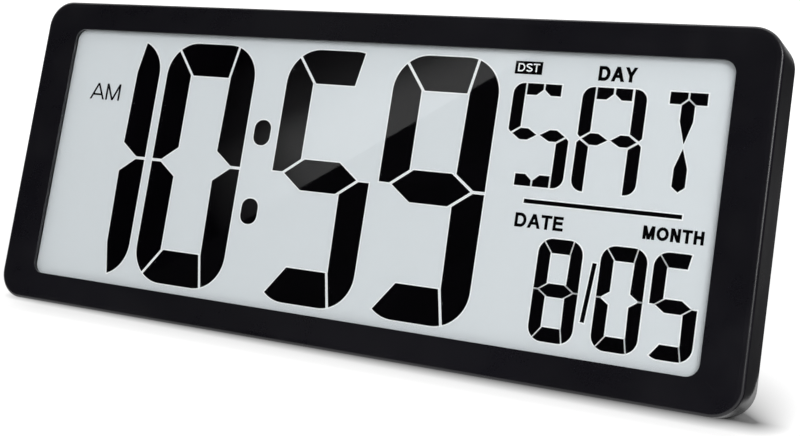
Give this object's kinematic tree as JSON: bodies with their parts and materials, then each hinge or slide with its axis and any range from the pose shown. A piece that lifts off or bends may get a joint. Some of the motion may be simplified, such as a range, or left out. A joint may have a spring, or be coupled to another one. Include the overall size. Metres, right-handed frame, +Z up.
{
  "type": "digital day clock",
  "caption": "Wide desk and wall clock with a large segment display in a slim black case, leaning on a fold-out stand, with rear keys, a sliding battery door and keyholes.",
  "frame": {"origin": "middle of the ground edge on which the case stands, on the table", "axes": "+X to the display's right, +Y to the back, +Z up; the clock leans back 19 degrees"},
  "size_m": [0.3606, 0.0745, 0.1457],
  "materials": {
    "case_black": "fine satin moulding",
    "lens_clear": "clear polished sheet",
    "display_face": "pale grey film",
    "segment_black": "black display segment",
    "lcd_glass": "clear sheet glass",
    "reflector_film": "silvery film",
    "foam_black": "thin foam tape",
    "zebra_rubber": "layered elastomer",
    "holder_white": "plain moulding",
    "screw_steel": "zinc plated",
    "board_green": "solder mask on laminate",
    "resin_black": "moulded resin",
    "crystal_can": "drawn can",
    "cable_film": "flat laminated cable",
    "key_grey": "satin key cap",
    "cell_wrap": "plain wrapped cell",
    "contact_steel": "nickel plated",
    "lead_red": "wire insulation",
    "foot_rubber": "soft non-slip rubber"
  },
  "bodies": {
    "case": {"front_case": "case_black", "rear_cover": "case_black", "front_lens": "lens_clear", "front_polariser": "display_face", "time_segments": "segment_black", "colon_dots": "segment_black", "date_segments": "segment_black", "lcd_front_glass": "lcd_glass", "lcd_rear_glass": "lcd_glass", "lcd_reflector": "reflector_film", "lens_gasket": "foam_black", "zebra_strip": "zebra_rubber", "lcd_holder": "holder_white", "holder_screws": "screw_steel", "board_screws": "screw_steel", "key_board_screws": "screw_steel", "cover_screws": "screw_steel", "stand_pin": "screw_steel", "main_board": "board_green", "key_board": "board_green", "driver_chip": "resin_black", "buzzer": "resin_black", "tact_switches": "resin_black", "quartz_crystal": "crystal_can", "key_cable": "cable_film", "aa_cells": "cell_wrap", "contact_plates": "contact_steel", "contact_springs": "contact_steel", "battery_leads": "lead_red"},
    "stand": {"stand_leg": "case_black", "stand_foot": "foot_rubber"},
    "door": {"battery_door": "case_black"},
    "set_button": {"set_key": "key_grey"},
    "up_button": {"up_key": "key_grey"},
    "down_button": {"down_key": "key_grey"},
    "alarm_button": {"alarm_key": "key_grey"},
    "mode_button": {"mode_key": "key_grey"}
  },
  "joints": [
    {"name": "stand_fold", "type": "hinge", "parent": "case", "child": "stand", "pos_m": [0, 0.0348, 0.08899], "axis": [1, 0, 0], "range_deg": [-30, 0]},
    {"name": "door_slide", "type": "slide", "parent": "case", "child": "door", "axis": [1, 0, 0], "range_m": [0, 0.06]},
    {"name": "set_press", "type": "slide", "parent": "case", "child": "set_button", "axis": [0, -0.9455, 0.3256], "range_m": [0, 0.0007], "stiffness_N_per_m": 700},
    {"name": "up_press", "type": "slide", "parent": "case", "child": "up_button", "axis": [0, -0.9455, 0.3256], "range_m": [0, 0.0007], "stiffness_N_per_m": 700},
    {"name": "down_press", "type": "slide", "parent": "case", "child": "down_button", "axis": [0, -0.9455, 0.3256], "range_m": [0, 0.0007], "stiffness_N_per_m": 700},
    {"name": "alarm_press", "type": "slide", "parent": "case", "child": "alarm_button", "axis": [0, -0.9455, 0.3256], "range_m": [0, 0.0007], "stiffness_N_per_m": 700},
    {"name": "mode_press", "type": "slide", "parent": "case", "child": "mode_button", "axis": [0, -0.9455, 0.3256], "range_m": [0, 0.0007], "stiffness_N_per_m": 700}
  ]
}
